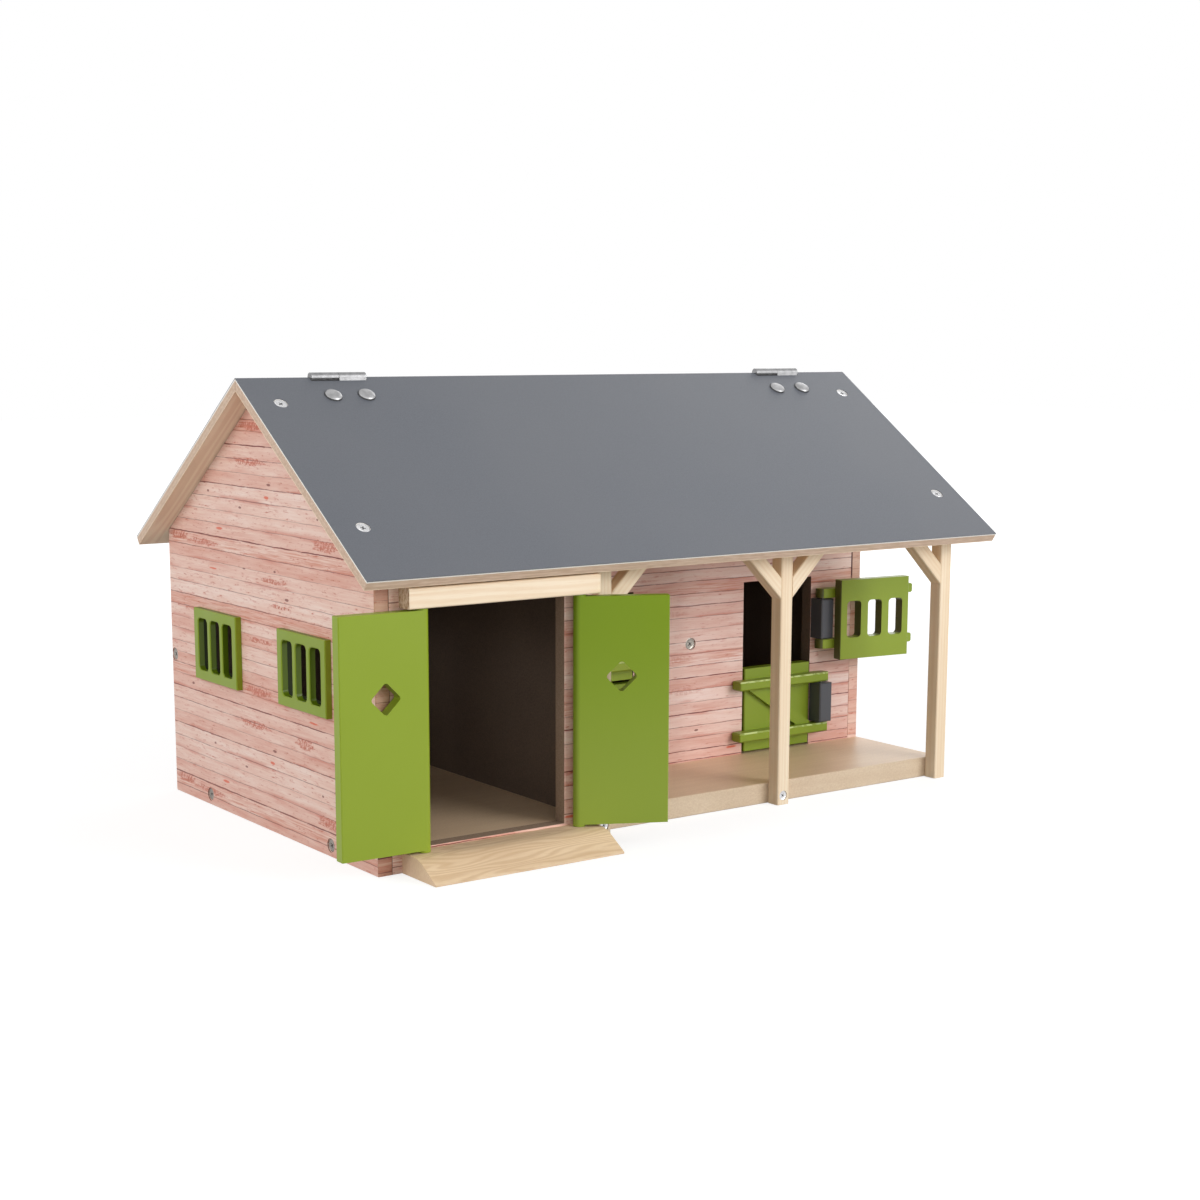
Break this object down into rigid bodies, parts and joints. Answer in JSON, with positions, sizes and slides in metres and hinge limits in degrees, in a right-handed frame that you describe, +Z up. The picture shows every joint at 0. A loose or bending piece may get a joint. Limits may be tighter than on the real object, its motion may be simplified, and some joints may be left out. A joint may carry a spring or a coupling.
{
  "type": "toy barn",
  "caption": "Toy barn with a gable roof whose rear panel lifts, an open porch before split stall doors that swing, and a storage bay with double doors.",
  "frame": {"origin": "bottom centre of the bounding box, on the ground", "axes": "+X along the ridge from the storage bay towards the open end of the porch, +Y towards the back wall, +Z up"},
  "size_m": [0.4792, 0.3064, 0.2595],
  "materials": {
    "printed_board": "printed plank pattern on board, satin",
    "grey_board": "grey laminate top on plywood, matt",
    "pale_wood": "bare planed softwood",
    "floor_board": "bare sanded board",
    "green_wood": "yellow-green paint, satin",
    "charcoal_wood": "charcoal paint, satin",
    "cap_steel": "bright domed caps",
    "steel": "bright zinc plated"
  },
  "bodies": {
    "house": {"storage_floor": "floor_board", "stable_floor": "floor_board", "left_gable": "printed_board", "storage_side": "printed_board", "right_gable": "printed_board", "back_wall": "printed_board", "storage_front": "printed_board", "stable_front": "printed_board", "stall_wall": "printed_board", "roof_front": "grey_board", "post_1": "pale_wood", "post_2": "pale_wood", "post_3": "pale_wood", "strut_1_right": "pale_wood", "strut_2_left": "pale_wood", "strut_2_right": "pale_wood", "strut_3_left": "pale_wood", "window_front": "green_wood", "window_rear": "green_wood", "beam": "pale_wood", "ramp": "pale_wood", "roof_screws": "steel", "wall_screws": "steel", "post_screws": "steel", "front_rivets": "cap_steel", "hinge_left_front_leaf": "steel", "hinge_right_front_leaf": "steel", "hinge_left_pin": "steel", "hinge_right_pin": "steel", "leaf_left_pins": "steel", "leaf_right_pins": "steel", "stall_1_lower_block": "charcoal_wood", "stall_1_lower_pin": "steel", "stall_1_upper_block": "charcoal_wood", "stall_1_upper_pin": "steel", "stall_2_lower_block": "charcoal_wood", "stall_2_lower_pin": "steel", "stall_2_upper_block": "charcoal_wood", "stall_2_upper_pin": "steel"},
    "leaf_left": {"leaf_left": "green_wood"},
    "leaf_right": {"leaf_right": "green_wood"},
    "roof_rear": {"roof_rear": "grey_board", "rear_rivets": "cap_steel", "hinge_left_rear_leaf": "steel", "hinge_right_rear_leaf": "steel"},
    "stall_1_lower": {"stall_1_lower_panel": "green_wood", "stall_1_lower_battens": "green_wood", "stall_1_lower_brace": "green_wood"},
    "stall_1_upper": {"stall_1_upper_panel": "green_wood", "stall_1_upper_battens": "green_wood"},
    "stall_2_lower": {"stall_2_lower_panel": "green_wood", "stall_2_lower_battens": "green_wood", "stall_2_lower_brace": "green_wood"},
    "stall_2_upper": {"stall_2_upper_panel": "green_wood", "stall_2_upper_battens": "green_wood"}
  },
  "joints": [
    {"name": "leaf_left_hinge", "type": "hinge", "parent": "house", "child": "leaf_left", "pos_m": [-0.18997, -0.12466, 0], "axis": [0, 0, 1], "range_deg": [0, 181.8]},
    {"name": "leaf_right_hinge", "type": "hinge", "parent": "house", "child": "leaf_right", "pos_m": [-0.08987, -0.12466, 0], "axis": [0, 0, 1], "range_deg": [-153, 25]},
    {"name": "stall_1_lower_hinge", "type": "hinge", "parent": "house", "child": "stall_1_lower", "pos_m": [0.02433, -0.03406, 0], "axis": [0, 0, 1], "range_deg": [0, 175]},
    {"name": "stall_1_upper_hinge", "type": "hinge", "parent": "house", "child": "stall_1_upper", "pos_m": [0.02433, -0.03406, 0], "axis": [0, 0, 1], "range_deg": [0, 175]},
    {"name": "stall_2_lower_hinge", "type": "hinge", "parent": "house", "child": "stall_2_lower", "pos_m": [0.17013, -0.03406, 0], "axis": [0, 0, 1], "range_deg": [0, 175]},
    {"name": "stall_2_upper_hinge", "type": "hinge", "parent": "house", "child": "stall_2_upper", "pos_m": [0.17013, -0.03406, 0], "axis": [0, 0, 1], "range_deg": [-173.3, 1.7]},
    {"name": "roof_lid", "type": "hinge", "parent": "house", "child": "roof_rear", "pos_m": [0, 0.00834, 0.2569], "axis": [1, 0, 0], "range_deg": [0, 225]}
  ]
}
